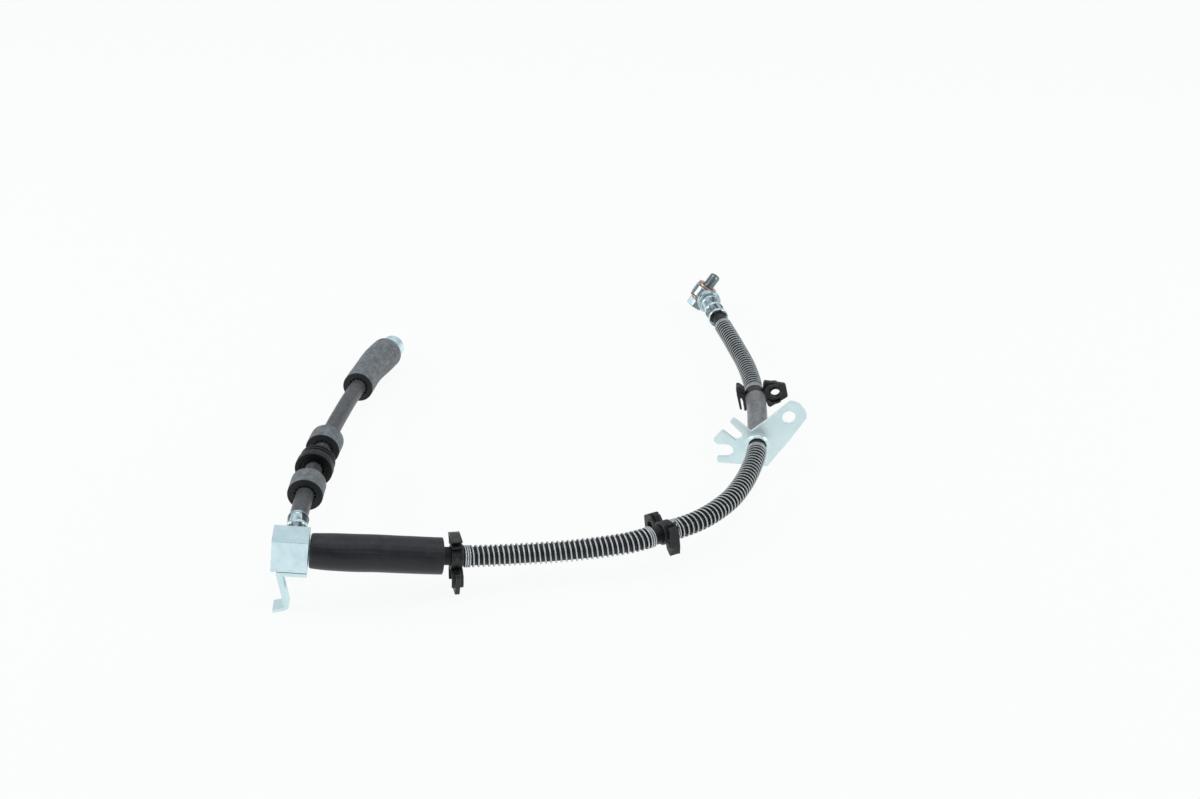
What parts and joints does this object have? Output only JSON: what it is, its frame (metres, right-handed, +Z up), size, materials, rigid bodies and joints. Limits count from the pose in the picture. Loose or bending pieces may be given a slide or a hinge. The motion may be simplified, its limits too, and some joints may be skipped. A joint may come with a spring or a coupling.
{
  "type": "brake hose",
  "caption": "Twin front brake hose: zinc junction block, short hose to a pipe fitting, long hose with springs, clips and bracket to a banjo end.",
  "frame": {"origin": "centre of the bounding box on the surface it lies on", "axes": "+Z up from the surface, +Y along the object's longest extent, from the junction block to the banjo end; +X from the short hose to the long one"},
  "size_m": [0.3165, 0.3962, 0.0493],
  "materials": {
    "zinc": "bright zinc plating with a bluish passivate, satin",
    "zinc_dull": "zinc plating, duller, slightly mottled",
    "spring_steel": "bright drawn steel wire, satin",
    "copper": "soft copper, lightly tarnished",
    "hose_rubber": "black rubber, satin, fine lengthwise ribbing",
    "black_rubber": "moulded black rubber, matte to satin",
    "grey_rubber": "moulded grey rubber, matte",
    "black_plastic": "moulded black nylon, satin"
  },
  "bodies": {
    "root": {"junction_block": "zinc", "block_bracket": "zinc_dull", "rear_ferrule": "zinc", "side_ferrule": "zinc", "rear_nipple": "zinc_dull", "side_nipple": "zinc_dull", "link_hose": "hose_rubber", "bush_front": "grey_rubber", "spool_grommet": "black_rubber", "bush_rear": "grey_rubber", "end_sleeve": "grey_rubber", "end_ferrule": "zinc", "end_fitting": "zinc", "main_hose": "hose_rubber", "guard_sleeve": "black_rubber", "clip_1": "black_plastic", "clip_2": "black_plastic", "clip_3": "black_plastic", "spring_1": "spring_steel", "spring_2": "spring_steel", "spring_3": "spring_steel", "support_bracket": "zinc", "bracket_sleeve": "grey_rubber", "banjo_ferrule": "zinc", "banjo_fitting": "zinc", "banjo_bolt": "zinc_dull", "copper_washer_upper": "copper", "copper_washer_lower": "copper"}
  },
  "joints": []
}
